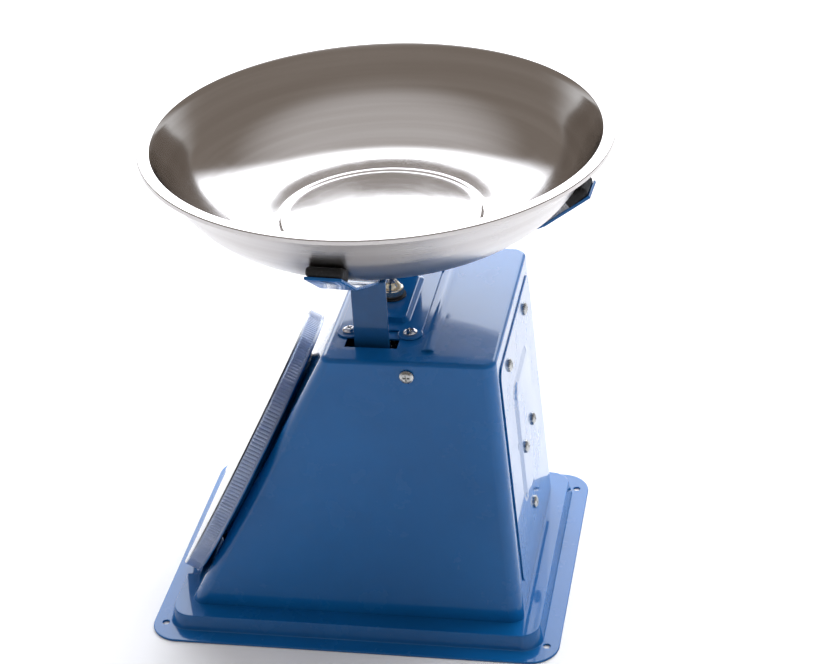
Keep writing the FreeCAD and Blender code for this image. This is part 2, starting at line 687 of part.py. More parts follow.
def dial_pan():
    seat = D.pan_seat
    wide = D.pan_radius
    back = D.dial_back
    hub = BUSH_RADIUS + RUNNING
    pan = spun("pan_form", [(hub, 0.1), (seat, 0.1), (seat + 3, back - 1), (wide, back - 1), (wide, back),
                            (seat + 2.4, back), (seat - 0.6, 1.1), (hub, 1.1)])
    holes = [post(f"pan_hole_{i}", D.screw_radius + RUNNING, x, y, -3, 6)
             for i, (x, y) in enumerate(PAN_SCREWS)]
    return on_face(cut("dial_pan", pan, holes))


def dial_pan_screws():
    places = [(x, y, 1.1, (0, 0, 1), 15) for x, y in PAN_SCREWS]
    return screws("dial_pan_screws", 6, places, on_face)


def dial_plate():
    back = D.dial_back
    return on_face(spun("dial_plate", [(BUSH_RADIUS + 0.3, back), (D.face_radius, back),
                                       (D.face_radius, back + 0.8), (BUSH_RADIUS + 0.3, back + 0.8)]))


def dial_cover():
    back = D.dial_back
    front = D.dial_front
    wide = D.dial_radius
    inner = wide - D.dial_wall
    lip = D.dial_lip_radius
    edge = D.dial_edge
    form = spun("dial_cover", [(inner, back), (lip, back), (lip, back + 1.2), (wide, back + 1.2),
                               (wide, front - edge), (wide - edge, front), (0, front),
                               (0, front - 1.6), (inner - 1.6, front - 1.6), (inner, front - 3.2)],
                {4: ((wide - edge, front - edge), 1)})
    return on_face(form)


def dial_bridge():
    back = box("bridge_back", (-26, as_size(26)), (-9, as_size(9)), (-36, as_size(-34)))
    legs = mirrored_boxes("bridge_leg", (24, as_size(26)), (-9, as_size(9)), (-36, as_size(-1.5)))
    feet = mirrored_boxes("bridge_foot", (24, as_size(36)), (-9, as_size(9)), (-3.5, as_size(-1.5)))
    bore = post("bridge_bore", D.shaft_radius + RUNNING, 0, 0, -40, -30)
    return on_face(cut("dial_bridge", fuse("bridge_form", [back] + legs + feet), [bore]))


def front_bush():
    bore = D.shaft_radius + RUNNING
    return on_face(spun("front_bush", [(bore, -8), (BUSH_RADIUS - 0.5, -8), (BUSH_RADIUS - 0.5, -2),
                                       (BUSH_RADIUS - 0.05, -2), (BUSH_RADIUS - 0.05, 4), (bore, 4)]))


# Holder and bowl

HOLDER_TURN = float(DRIVING["holder_turn"])
LOW_SLOPE = math.atan2(DRIVING["arm_knee_rise"], DRIVING["arm_knee"] - DRIVING["arm_flat"])
HIGH_SLOPE = math.atan2(DRIVING["arm_rise"] - DRIVING["arm_knee_rise"],
                        DRIVING["arm_tip"] - DRIVING["arm_knee"])
PAD_GAP = 0.15


def holder_strip(name, lift, turn):
    """A strip with a flat middle, lift above the strap, and ends that rise in two slopes under the bowl."""
    lift = as_size(lift)
    thick = D.arm_thick
    bend = D.arm_flat + lift * ((D.arm_knee - D.arm_flat) / D.arm_knee_rise)
    under = [(bend, D.strap_high + lift), (D.arm_knee, D.strap_high + D.arm_knee_rise),
             (D.arm_tip, D.strap_high + D.arm_rise)]
    middle = (LOW_SLOPE + HIGH_SLOPE) / 2
    mitre = math.cos((HIGH_SLOPE - LOW_SLOPE) / 2)
    steps = [(math.tan(LOW_SLOPE / 2), 1), (math.sin(middle) / mitre, math.cos(middle) / mitre),
             (math.sin(HIGH_SLOPE), math.cos(HIGH_SLOPE))]
    over = [(r - thick * back, z + thick * up) for (r, z), (back, up) in zip(under, steps)]
    points = [(-r, z) for r, z in reversed(under)] + under + over[::-1] + [(-r, z) for r, z in over]
    strip = extruded(f"{name}_strip", "XZ_Plane", points, 2 * D.arm_half_width, midplane=True)
    bore = post(f"{name}_bore", D.screw_radius + RUNNING, 0, 0, 240, 270)
    node = cut(name, strip, [bore])
    return locate(node, 0, D.strap_centre_y, 0, (0, 0, 1), HOLDER_TURN + turn)


def bowl_space():
    """The room that the bowl's underside takes, with a small gap round it."""
    angle = math.radians(DRIVING["bowl_wall_angle"])
    flat = D.bowl_flat
    low = D.bowl_bottom - PAD_GAP
    reach = D.bowl_arc + PAD_GAP
    centre = (flat, D.bowl_bottom + D.bowl_arc)
    end = (flat + reach * math.sin(angle), D.bowl_bottom + D.bowl_arc - reach * math.cos(angle))
    space = spun("bowl_space", [(0, low), (flat, low), end, (D.bowl_rim, D.bowl_rim_top),
                                (0, D.bowl_rim_top)],
                 {1: (centre, 1)})
    return locate(space, 0, D.bowl_centre_y, 0)


def holder_pad(name, turn, space):
    """A moulded rubber wedge that fills the room between one arm's end and the bowl."""
    low = D.arm_thick + 0.01
    wedge = slab(f"{name}_wedge", D.arm_half_width, 0, D.pad_along, 2.5, low, D.pad_high - low)
    swing = math.radians(HOLDER_TURN + turn)
    tilt = FreeCAD.Rotation(FreeCAD.Vector(0, 0, 1), HOLDER_TURN + turn - 90)
    tilt = tilt * FreeCAD.Rotation(FreeCAD.Vector(1, 0, 0), math.degrees(HIGH_SLOPE))
    wedge.Placement = FreeCAD.Placement(FreeCAD.Vector(), tilt)
    reach = D.arm_tip - D.pad_along * math.cos(HIGH_SLOPE)
    bind(wedge, "Placement.Base.x", reach * math.cos(swing))
    bind(wedge, "Placement.Base.y", D.strap_centre_y + reach * math.sin(swing))
    bind(wedge, "Placement.Base.z", D.strap_high + D.arm_rise - D.pad_along * math.sin(HIGH_SLOPE))
    return cut(name, wedge, [space])


def bowl():
    wall = D.bowl_wall
    low = D.bowl_bottom
    flat = D.bowl_flat
    arc = D.bowl_arc
    angle = math.radians(DRIVING["bowl_wall_angle"])
    centre = (flat, low + arc)
    sine = math.sin(angle)
    cosine = math.cos(angle)
    outer_end = (flat + arc * sine, low + arc - arc * cosine)
    inner_end = (flat + (arc - wall) * sine, low + arc - (arc - wall) * cosine)
    top = D.bowl_rim_top
    inner_edge = D.bowl_rim - D.bowl_rim_width
    well = D.bowl_well_depth
    edge = D.bowl_well
    points = [(0, low - well), (edge, low - well), (edge + 2, low), (flat, low), outer_end,
              (inner_edge + 1, top - wall), (D.bowl_rim - wall, top - wall),
              (D.bowl_rim - wall, top - D.bowl_lip),
              (D.bowl_rim, top - D.bowl_lip), (D.bowl_rim, top - 0.6), (D.bowl_rim - 0.6, top),
              (inner_edge, top), inner_end, (flat, low + wall), (edge + 2, low + wall),
              (edge, low - well + wall), (0, low - well + wall)]
    form = spun("bowl", points, {3: (centre, 1), 12: (centre, -1)})
    return locate(form, 0, D.bowl_centre_y, 0)


# Chassis, guides and damper

def chassis():
    top = box("chassis_top", (-77, as_size(77)), (as_size(36), as_size(94)), (as_size(194), as_size(196)))
    ears = mirrored_boxes("chassis_ear", (75, as_size(77)), (36, as_size(56)), (184, as_size(202)))
    legs = mirrored_boxes("chassis_leg", (64, as_size(66)), (62, as_size(94)), (D.step_top, as_size(196)))
    feet = mirrored_boxes("chassis_foot", (64, as_size(78)), (62, as_size(80)), (D.step_top, D.step_top + 2))
    holes = [cross_pin("ear_screw_hole", D.screw_radius + RUNNING, -90, 90, SIDE_SCREW_Y, SIDE_SCREW_Z)]
    for i, z in enumerate((D.upper_guide_z, D.lower_guide_z)):
        holes.append(cross_pin(f"pivot_hole_{i}", D.guide_pin_radius, -70, 70, D.guide_pivot_y, z))
    return cut("chassis", fuse("chassis_form", [top] + ears + legs + feet), holes)


def guide_pin(name, z):
    return cross_pin(name, D.guide_pin_radius, -68, 68, D.guide_pivot_y, z)


GUIDE_REACH = DRIVING["guide_pivot_y"] - DRIVING["strap_centre_y"]
GUIDE_LEAN = math.degrees(math.atan2(DRIVING["travel"] / 2, GUIDE_REACH))


def parallel_guide(name, z):
    """Two side arms and a web, pivoted at the back and slotted over the carrier's studs in front."""
    reach = D.guide_pivot_y - D.strap_centre_y + 0.2
    arms = mirrored_boxes(f"{name}_arm", (60, as_size(62)), (-reach - 5, as_size(5)), (-5, as_size(5)))
    web = box(f"{name}_web", (-62, as_size(62)), (-18, as_size(-16)), (-5, as_size(5)))
    holes = [cross_pin(f"{name}_bore", D.guide_pin_radius + RUNNING, -70, 70, 0, 0),
             cross_pin(f"{name}_eye", D.guide_pin_radius + 0.75, -70, 70, -reach, 0)]
    node = cut(name, fuse(f"{name}_form", arms + [web]), holes)
    return locate(node, 0, D.guide_pivot_y, z, (1, 0, 0), -GUIDE_LEAN)


def damper():
    y = D.strap_centre_y
    low = D.step_top
    wide = D.damper_radius
    bore = wide - 2
    pot = spun("damper_cylinder", [(0, low), (wide, low), (wide, 76), (bore, 76), (bore, low + 2),
                                   (0, low + 2)])
    lid = spun("damper_cap", [(2.6, 76), (wide, 76), (wide, 78.5), (2.6, 78.5)])
    rod = spun("damper_rod", [(0, 46), (bore - 0.3, 46), (bore - 0.3, 52), (2, 52), (2, D.beam_z + 6),
                              (0, D.beam_z + 6)])
    nut = spun("damper_nut", [(2, D.beam_z + D.beam_thick), (4.5, D.beam_z + D.beam_thick),
                              (4.5, D.beam_z + 6), (2, D.beam_z + 6)])
    return [locate(piece, 0, y, 0) for piece in (pot, lid, rod, nut)]


def holder_screw():
    return screws("holder_screw", 10, [(0, D.strap_centre_y, D.strap_high + 2 * D.arm_thick, (0, 0, 1), 30)])


nodes = [base_tray(), base_screws(), case_shell(), side_screws(), back_cover(), back_cover_screws(),
         top_plate(), top_plate_screws(), carrier_strap(), guide_studs(), spring_beam(), beam_screws(),
         rack(), rack_pin(), pinion(), dial_pan(), dial_pan_screws(), dial_plate(), dial_cover(),
         dial_bridge(), front_bush(), bowl(), chassis(), holder_screw()]
nodes += zero_adjuster() + pointer_works() + damper()
nodes += [main_spring("spring_left", -D.spring_x), main_spring("spring_right", D.spring_x),
          spring_plugs("lower_spring_hooks", SPRING_LOW - 1.5, -1),
          spring_plugs("upper_spring_hooks", SPRING_LOW + D.spring_length + 1.5, 1)]
nodes += [holder_strip("holder_arm_x", 0, 0), holder_strip("holder_arm_y", D.arm_thick, 90)]
nodes += [guide_pin("upper_guide_pin", D.upper_guide_z), guide_pin("lower_guide_pin", D.lower_guide_z),
          parallel_guide("upper_guide", D.upper_guide_z), parallel_guide("lower_guide", D.lower_guide_z)]

under_bowl = bowl_space()
nodes += [holder_pad("pad_right", 0, under_bowl), holder_pad("pad_back", 90, under_bowl),
          holder_pad("pad_left", 180, under_bowl), holder_pad("pad_front", 270, under_bowl)]
doc.recompute()

for thing in doc.Objects:
    if {"Invalid", "Error"} & set(thing.State):
        raise RuntimeError(f"{thing.Name} did not build: {thing.State}")
for node in nodes:
    if node.Shape.isNull() or not node.Shape.isValid():
        raise RuntimeError(f"{node.Label} has no valid shape")
os.makedirs("parts", exist_ok=True)
for node in nodes:
    node.Shape.exportStep(f"parts/{node.Label}.step")
print(f"{len(nodes)} sub-parts written")
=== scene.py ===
import json
import math

import bmesh
import bpy
from mathutils import Matrix, Vector


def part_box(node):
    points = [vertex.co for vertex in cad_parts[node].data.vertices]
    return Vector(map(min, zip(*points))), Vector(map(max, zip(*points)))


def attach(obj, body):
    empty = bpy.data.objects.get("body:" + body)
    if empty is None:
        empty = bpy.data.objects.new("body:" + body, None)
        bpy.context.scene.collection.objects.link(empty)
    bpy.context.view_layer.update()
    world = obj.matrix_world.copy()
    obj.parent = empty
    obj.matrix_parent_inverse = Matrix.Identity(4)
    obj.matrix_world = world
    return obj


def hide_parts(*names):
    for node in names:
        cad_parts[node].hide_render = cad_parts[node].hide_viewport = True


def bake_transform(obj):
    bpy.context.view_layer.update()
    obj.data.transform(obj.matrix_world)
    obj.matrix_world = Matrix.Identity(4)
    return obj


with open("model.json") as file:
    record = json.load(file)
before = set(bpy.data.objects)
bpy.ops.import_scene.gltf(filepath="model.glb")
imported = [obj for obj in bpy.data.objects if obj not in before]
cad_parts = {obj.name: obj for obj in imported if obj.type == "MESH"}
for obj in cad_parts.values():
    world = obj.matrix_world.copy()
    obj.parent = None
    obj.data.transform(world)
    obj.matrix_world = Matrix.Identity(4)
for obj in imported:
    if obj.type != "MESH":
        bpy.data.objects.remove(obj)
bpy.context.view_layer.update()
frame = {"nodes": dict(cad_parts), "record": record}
record = frame["record"]
joints = {j["name"]: j for j in record["behaviour"]["joints"]}
mm = 0.001
print("frame loaded:", len(frame["nodes"]), "nodes")


# Shader helpers

class Signal:
    def __init__(self, finish, socket):
        self.finish = finish
        self.socket = socket

    def maths(self, operation, *others, flip=False):
        parts = [self, *others]
        if flip:
            parts.reverse()
        return self.finish.node("ShaderNodeMath", {"operation": operation}, dict(enumerate(parts)))

    def __add__(self, other):
        return self.maths("ADD", other)

    def __radd__(self, other):
        return self.maths("ADD", other, flip=True)

    def __sub__(self, other):
        return self.maths("SUBTRACT", other)

    def __rsub__(self, other):
        return self.maths("SUBTRACT", other, flip=True)

    def __mul__(self, other):
        return self.maths("MULTIPLY", other)

    def __rmul__(self, other):
        return self.maths("MULTIPLY", other, flip=True)

    def __truediv__(self, other):
        return self.maths("DIVIDE", other)

    def __rtruediv__(self, other):
        return self.maths("DIVIDE", other, flip=True)

    def __pow__(self, other):
        return self.maths("POWER", other)

    def __mod__(self, other):
        return self.maths("FLOORED_MODULO", other)


class Graph:
    def __init__(self, tree, place):
        self.tree = tree
        self.place = self.node("ShaderNodeTexCoord", output=place)

    def node(self, kind, settings=None, inputs=None, output=0):
        made = self.tree.nodes.new(kind)
        for name, value in (settings or {}).items():
            if name == "stops":
                self.setStops(made.color_ramp, value)
            else:
                setattr(made, name, value)
        for socket, value in (inputs or {}).items():
            self.feed(made.inputs[socket], value)
        return Signal(self, made.outputs[output])

    def setStops(self, ramp, stops):
        while len(ramp.elements) < len(stops):
            ramp.elements.new(0.5)
        for element, (position, colour) in zip(ramp.elements, stops):
            element.position = position
            element.color = colour

    def feed(self, socket, value):
        if isinstance(value, Signal):
            self.tree.links.new(value.socket, socket)
        else:
            socket.default_value = value

    def noise(self, scale, detail=3, rough=0.5, place=None):
        return self.node("ShaderNodeTexNoise", None,
                         {"Vector": place or self.place, "Scale": scale, "Detail": detail, "Roughness": rough})

    def ramp(self, value, stops):
        return self.node("ShaderNodeValToRGB", {"stops": stops}, {0: value})

    def between(self, value, low, high):
        return self.node("ShaderNodeMapRange", {"interpolation_type": "SMOOTHSTEP"},
                         {"Value": value, "From Min": low, "From Max": high})

    def blendColours(self, factor, first, second, mode="MIX"):
        made = self.tree.nodes.new("ShaderNodeMix")
        made.data_type = "RGBA"
        made.blend_type = mode
        self.feed(made.inputs[0], factor)
        self.feed(made.inputs[6], first)
        self.feed(made.inputs[7], second)
        return Signal(self, made.outputs[2])

    def parted(self, centre=(0, 0, 0)):
        # place about a centre, as x, y, z and distance from the z axis
        mapped = self.node("ShaderNodeMapping", {"vector_type": "TEXTURE"},
                           {"Vector": self.place, "Location": centre})
        split = self.tree.nodes.new("ShaderNodeSeparateXYZ")
        self.feed(split.inputs[0], mapped)
        x, y, z = (Signal(self, split.outputs[i]) for i in range(3))
        return x, y, z, (x * x + y * y) ** 0.5

    def joined(self, x, y, z):
        return self.node("ShaderNodeCombineXYZ", None, {0: x, 1: y, 2: z})


class Finish(Graph):
    def __init__(self, name, **fixed):
        self.material = bpy.data.materials.new(name)
        self.material.use_nodes = True
        super().__init__(self.material.node_tree, "Object")
        self.shader = self.tree.nodes["Principled BSDF"]
        for socket, value in fixed.items():
            self.shader.inputs[socket.replace("_", " ")].default_value = value

    def set(self, socket, value):
        self.feed(self.shader.inputs[socket], value)

    def bumps(self, *layers):
        normal = None
        for height, depth in layers:
            inputs = {"Height": height, "Distance": depth}
            if normal:
                inputs["Normal"] = normal
            normal = self.node("ShaderNodeBump", None, inputs)
        self.set("Normal", normal)


# Finishes

bowlLow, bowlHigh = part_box("bowl")
bowlMiddle = ((bowlLow.x + bowlHigh.x) / 2, (bowlLow.y + bowlHigh.y) / 2, bowlLow.z)
dialMiddle = Vector(joints["pointer_turn"]["pos_m"])
dialTurn = math.pi - math.acos(joints["pointer_turn"]["axis"][2])


def blueEnamel():
    paint = {"deep": (0.003, 0.092, 0.285, 1), "bright": (0.004, 0.115, 0.350, 1),
             "peelSize": 420, "peelDepth": 0.000003, "waveSize": 14, "waveDepth": 0.00016,
             "dust": (0.07, 0.14, 0.30, 1)}
    f = Finish("blueEnamel", Coat_Weight=1.0, Coat_Roughness=0.03, Coat_IOR=1.33, Specular_IOR_Level=0.1)
    cloud = f.noise(9, 4)
    base = f.blendColours(f.between(cloud, 0.3, 0.7), paint["deep"], paint["bright"])
    specks = f.between(f.noise(900, 2, 0.6), 0.72, 0.78)
    patches = f.between(f.noise(14, 3), 0.5, 0.75)
    f.set("Base Color", f.blendColours(specks * patches * 0.12, base, paint["dust"]))
    smear = f.between(f.noise(30, 5, 0.6), 0.4, 0.75)
    f.set("Roughness", 0.22 + smear * 0.1)
    f.bumps((f.noise(paint["waveSize"], 1), paint["waveDepth"]), (f.noise(paint["peelSize"], 2), paint["peelDepth"]))
    return f.material


# the upright strap's enamel: the case's blue paint made darker, as painted shade for the strap standing in the shade
# under the bowl
def stripEnamel():
    paint = {"deep": (0.004, 0.062, 0.185, 1), "bright": (0.006, 0.078, 0.225, 1)}
    f = Finish("stripEnamel", Coat_Weight=0.9, Coat_Roughness=0.06, Coat_IOR=1.36, Specular_IOR_Level=0.15)
    f.set("Base Color", f.blendColours(f.between(f.noise(40, 4), 0.3, 0.7), paint["deep"], paint["bright"]))
    f.set("Roughness", 0.3 + f.noise(120, 3) * 0.15)
    f.bumps((f.noise(500, 2), 0.00001))
    return f.material


def spunSteel(name, gloss, spread, grooves, tint):
    f = Finish(name, Metallic=1.0, Specular_IOR_Level=0.5)
    x, y, z, reach = f.parted(bowlMiddle)
    rings = f.noise(1, 3, 0.7, f.joined(reach * 2600, z * 2600, x * 3 + y * 2))
    broad = f.noise(1, 2, 0.5, f.joined(reach * 160, z * 160, x * 4 - y * 3))
    smears = f.between(f.noise(22, 4, 0.6), 0.42, 0.72)
    f.set("Base Color", f.blendColours(f.between(broad, 0.3, 0.75), tint[0], tint[1]))
    f.set("Roughness", gloss + rings * spread + smears * 0.05)
    scratches = f.between(f.noise(1, 2, 0.6, f.joined(x * 900 + y * 300, y * 60, z * 300)), 0.68, 0.72)
    f.bumps((rings, grooves), (broad, grooves * 3), (scratches, 0.000004))
    return f.material


def platedSteel(name, tint, gloss, depth):
    f = Finish(name, Metallic=1.0)
    cloud = f.between(f.noise(160, 3), 0.3, 0.7)
    f.set("Base Color", f.blendColours(cloud, tint[0], tint[1]))
    f.set("Roughness", gloss + f.noise(700, 3, 0.6) * 0.14)
    f.bumps((f.noise(1400, 3, 0.6), depth))
    return f.material


def blackRubber():
    f = Finish("blackRubber", Specular_IOR_Level=0.35)
    dust = f.between(f.noise(260, 4, 0.65), 0.5, 0.8)
    f.set("Base Color", f.blendColours(dust, (0.012, 0.012, 0.013, 1), (0.075, 0.075, 0.08, 1)))
    f.set("Roughness", 0.55 + f.noise(500, 3) * 0.3)
    f.bumps((f.noise(2600, 3, 0.6), 0.00004), (f.noise(300, 2), 0.00008))
    return f.material


def blackPlastic():
    f = Finish("blackPlastic", Specular_IOR_Level=0.45)
    f.set("Base Color", f.blendColours(f.noise(300, 3), (0.010, 0.010, 0.012, 1), (0.028, 0.028, 0.032, 1)))
    f.set("Roughness", 0.32 + f.noise(1200, 2) * 0.2)
    f.bumps((f.noise(3000, 2), 0.000012))
    return f.material


def clearCover():
    f = Finish("clearCover", IOR=1.46, Transmission_Weight=1.0, Coat_Weight=0.4, Coat_Roughness=0.03)
    haze = f.between(f.noise(60, 4, 0.6), 0.4, 0.8)
    f.set("Base Color", f.blendColours(haze, (0.94, 0.96, 1.0, 1), (0.86, 0.90, 0.98, 1)))
    f.set("Roughness", 0.02 + haze * 0.07)
    f.bumps((f.noise(40, 1), 0.00012))
    return f.material


def ribbedEdge():
    f = Finish("ribbedEdge", IOR=1.46, Transmission_Weight=0.5, Coat_Weight=0.6, Coat_Roughness=0.05)
    haze = f.between(f.noise(90, 4, 0.6), 0.35, 0.8)
    f.set("Base Color", f.blendColours(haze, (0.32, 0.41, 0.62, 1), (0.42, 0.51, 0.70, 1)))
    f.set("Roughness", 0.14 + haze * 0.12)
    f.bumps((f.noise(1200, 2), 0.00001))
    return f.material


def dialFace():
    f = Finish("dialFace", Coat_Weight=0.3, Coat_Roughness=0.15)
    cloud = f.between(f.noise(25, 4), 0.35, 0.75)
    specks = f.between(f.noise(700, 2), 0.74, 0.78)
    paper = f.blendColours(cloud, (0.82, 0.82, 0.78, 1), (0.88, 0.88, 0.85, 1))
    f.set("Base Color", f.blendColours(specks * 0.4, paper, (0.55, 0.53, 0.48, 1)))
    f.set("Roughness", 0.36 + cloud * 0.1)
    f.bumps((f.noise(1800, 2), 0.000008))
    return f.material


def dialInk(name, tint):
    f = Finish(name, Coat_Weight=0.2, Coat_Roughness=0.2)
    fade = f.noise(900, 3, 0.6)
    f.set("Base Color", f.blendColours(f.between(fade, 0.55, 0.8), tint[0], tint[1]))
    f.set("Roughness", 0.38 + fade * 0.15)
    return f.material


def turnedBrass():
    f = Finish("turnedBrass", Metallic=1.0)
    f.set("Base Color", f.blendColours(f.noise(300, 3), (0.60, 0.40, 0.14, 1), (0.78, 0.56, 0.24, 1)))
    f.set("Roughness", 0.22 + f.noise(1400, 2) * 0.18)
    f.bumps((f.noise(1800, 2), 0.000008))
    return f.material


finishes = {
    "blue": blueEnamel(),
    # darker copy of the blue enamel for the upright strap: painted shade
    "shadedStrip": stripEnamel(),
    "bowlInside": spunSteel("bowlInside", 0.09, 0.07, 0.0000012, ((0.60, 0.57, 0.545, 1), (0.67, 0.645, 0.625, 1))),
    "bowlOutside": spunSteel("bowlOutside", 0.24, 0.08, 0.0000018, ((0.53, 0.505, 0.495, 1), (0.59, 0.57, 0.56, 1))),
    "chrome": platedSteel("chrome", ((0.62, 0.62, 0.63, 1), (0.74, 0.74, 0.74, 1)), 0.08, 0.000006),
    "nickel": platedSteel("nickel", ((0.62, 0.57, 0.44, 1), (0.74, 0.70, 0.58, 1)), 0.10, 0.000006),
    "zinc": platedSteel("zinc", ((0.34, 0.35, 0.35, 1), (0.50, 0.50, 0.48, 1)), 0.20, 0.00001),
    "spring": platedSteel("springWire", ((0.16, 0.16, 0.17, 1), (0.30, 0.30, 0.31, 1)), 0.25, 0.00001),
    "rubber": blackRubber(),
    "plastic": blackPlastic(),
    "clear": clearCover(),
    "ribbed": ribbedEdge(),
    "face": dialFace(),
    "ink": dialInk("dialInk", ((0.010, 0.010, 0.012, 1), (0.05, 0.05, 0.055, 1))),
    "redInk": dialInk("redInk", ((0.45, 0.012, 0.012, 1), (0.62, 0.05, 0.04, 1))),
    "brass": turnedBrass(),
}
print("finishes made:", len(finishes))


# Making pieces

bodyOf = {node: body for body, nodes in record["behaviour"]["bodies"].items() for node in nodes}


def finished(name, bm, looks, nodes, body=None, sharp=32, weighted=True):
    # a bmesh in the row frame becomes a piece that stands for its CAD nodes
    mesh = bpy.data.meshes.new(name)
    bm.to_mesh(mesh)
    bm.free()
    piece = bpy.data.objects.new(name, mesh)
    bpy.context.scene.collection.objects.link(piece)
    for look in looks:
        mesh.materials.append(finishes[look])
    mesh.shade_smooth()
    mesh.set_sharp_from_angle(angle=math.radians(sharp))
    if weighted:
        modifier = piece.modifiers.new("faceWeights", "WEIGHTED_NORMAL")
        modifier.keep_sharp = True
        modifier.weight = 100
    nodes = [nodes] if isinstance(nodes, str) else nodes
    if nodes:
        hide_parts(*nodes)
    if body != "none":
        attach(piece, body or bodyOf[nodes[0]])
    return piece


def merged(node, flat=0.4):
    bm = bmesh.new()
    bm.from_mesh(frame["nodes"][node].data)
    bmesh.ops.remove_doubles(bm, verts=bm.verts, dist=0.002 * mm)
    bmesh.ops.dissolve_limit(bm, angle_limit=math.radians(flat), verts=bm.verts, edges=bm.edges)
    for face in bm.faces:
        face.material_index = 0
    return bm


def eased(bm, width, segments=2, sharp=35, chosen=None):
    # rounds the sharp edges, or the chosen ones
    edges = [e for e in bm.edges if len(e.link_faces) == 2 and abs(e.calc_face_angle(0)) > math.radians(sharp)]
    if chosen:
        edges = [e for e in edges if chosen(e)]
    bmesh.ops.bevel(bm, geom=edges, affect="EDGES", offset=width, offset_type="OFFSET", segments=segments,
                    profile=0.5, material=-1, clamp_overlap=False)
    return bm


def spin(bm, geometry, centre=(0, 0, 0), axis=(0, 0, 1), steps=64):
    bmesh.ops.spin(bm, geom=geometry, cent=centre, axis=axis, dvec=(0, 0, 0), angle=2 * math.pi, steps=steps,
                   use_merge=True, use_duplicate=False)
    bmesh.ops.remove_doubles(bm, verts=bm.verts, dist=0.002 * mm)
    bmesh.ops.recalc_face_normals(bm, faces=bm.faces)


def turned(points, steps=64):
    # a closed form from (radius, height) points in mm, both ends on the axis or meeting each other
    bm = bmesh.new()
    verts = [bm.verts.new((r * mm, 0, h * mm)) for r, h in points]
    edges = [bm.edges.new(pair) for pair in zip(verts, verts[1:])]
    if points[0][0] > 0:
        edges.append(bm.edges.new((verts[-1], verts[0])))
    spin(bm, verts + edges, steps=steps)
    return bm


def arc(middle, radius, start, end, steps):
    turns = [math.radians(start + (end - start) * i / steps) for i in range(steps + 1)]
    return [(middle[0] + radius * math.cos(t), middle[1] + radius * math.sin(t)) for t in turns]


def moved(bm, matrix):
    bmesh.ops.transform(bm, matrix=matrix, verts=bm.verts)
    return bm


onDial = Matrix.Translation(dialMiddle) @ Matrix.Rotation(dialTurn, 4, "X")


# Bowl

def makeBowl():
    bowl = {"rim": 150, "rimTop": 327, "rimWidth": 7.6, "lip": 3, "wall": 1, "flat": 70, "low": 268, "arc": 70.5,
            "wallAngle": 58, "well": 64, "wellDepth": 1.2, "steps": 288}
    low, flat, radius, wall = bowl["low"], bowl["flat"], bowl["arc"], bowl["wall"]
    top, rim = bowl["rimTop"], bowl["rim"]
    well = low - bowl["wellDepth"]
    inner = rim - bowl["rimWidth"]
    middle = (flat, low + radius)
    turn = bowl["wallAngle"] - 90
    outside = [(0, well), (20, well), (45, well), (60, well), (63.2, well), (64, well + 0.15), (65, well + 0.8),
               (66, low), (68, low)] + arc(middle, radius, -90, turn, 22)
    outside += [(133.5, 308), (137.6, 315.5), (141.4, 322.4), (inner + 0.5, top - wall - 1.2),
                (inner + 1.4, top - wall)]
    rimEdge = [(rim - wall - 0.4, top - wall), (rim - wall, top - wall - 0.4), (rim - wall, top - bowl["lip"]),
               (rim, top - bowl["lip"])]
    rimEdge += arc((rim - 0.9, top - 0.9), 0.9, 0, 90, 5) + [(rim - 4, top)]
    rimEdge += [(inner + 0.9, top), (inner + 0.2, top - 0.15), (inner - 0.35, top - 0.8)]
    inside = [(140.6, 323), (136.9, 316), (132.7, 308.2)] + arc(middle, radius - wall, turn, -90, 22)
    inside += [(68, low + wall), (66.2, low + wall - 0.05), (65, well + wall + 0.7), (64.2, well + wall + 0.15),
               (63.4, well + wall), (60, well + wall), (45, well + wall), (20, well + wall), (0, well + wall)]
    bm = turned(outside + rimEdge + inside, bowl["steps"])
    moved(bm, Matrix.Translation((bowlMiddle[0], bowlMiddle[1], 0)))
    centre = Vector((bowlMiddle[0], bowlMiddle[1], 0))
    for face in bm.faces:
        place = face.calc_center_median()
        outward = (place - centre).xy.normalized().dot(face.normal.xy)
        isInside = face.normal.z > 0.3 or outward < -0.2
        face.material_index = 0 if isInside else 1
    finished("bowlPressing", bm, ["bowlInside", "bowlOutside"], "bowl", sharp=50, weighted=False)


makeBowl()
print("bowl made")


# Case and base

def makeCase():
    case = {"fold": 3.0, "height": 193.5, "sideEdge": 69, "frontEdge": -8, "backEdge": 90}
    sheetTop = max(v.co.z for v in frame["nodes"]["base_tray"].data.vertices) + case["height"] * mm
    bm = merged("case_shell")

    def isFold(edge):
        if not all(abs(v.co.z - sheetTop) < 0.1 * mm for v in edge.verts):
            return False
        return any(abs(f.normal.z) < 0.6 for f in edge.link_faces) and any(f.normal.z > 0.9 for f in edge.link_faces) \
            and all(isOuter(v.co) for v in edge.verts)

    def isOuter(place):
        x, y = abs(place.x) / mm, place.y / mm
        return x > case["sideEdge"] or y < case["frontEdge"] or y > case["backEdge"]

    eased(bm, case["fold"] * mm, 4, 20, isFold)
    finished("caseSheet", bm, ["blue"], "case_shell", sharp=35)


def makeTray():
    bm = merged("base_tray")
    eased(bm, 0.6 * mm, 3, 25)
    finished("baseSheet", bm, ["blue"], "base_tray", sharp=35)


def makeSheets():
    sheets = {"back_cover": ("backCoverSheet", 0.45, "blue", "blue_enamel"),
              "top_plate": ("topPlateSheet", 0.5, "blue", "blue_enamel"),
              # the upright strap takes the darker enamel, painted shade under the bowl
              "carrier_strap": ("uprightStrap", 0.5, "shadedStrip", "blue_enamel"),
              "holder_arm_x": ("armAcross", 0.5, "blue", "blue_enamel"),
              "holder_arm_y": ("armAlong", 0.5, "blue", "blue_enamel")}
    for node, (name, width, look, slot) in sheets.items():
        finished(name, eased(merged(node), width * mm, 3, 30), [look], node)


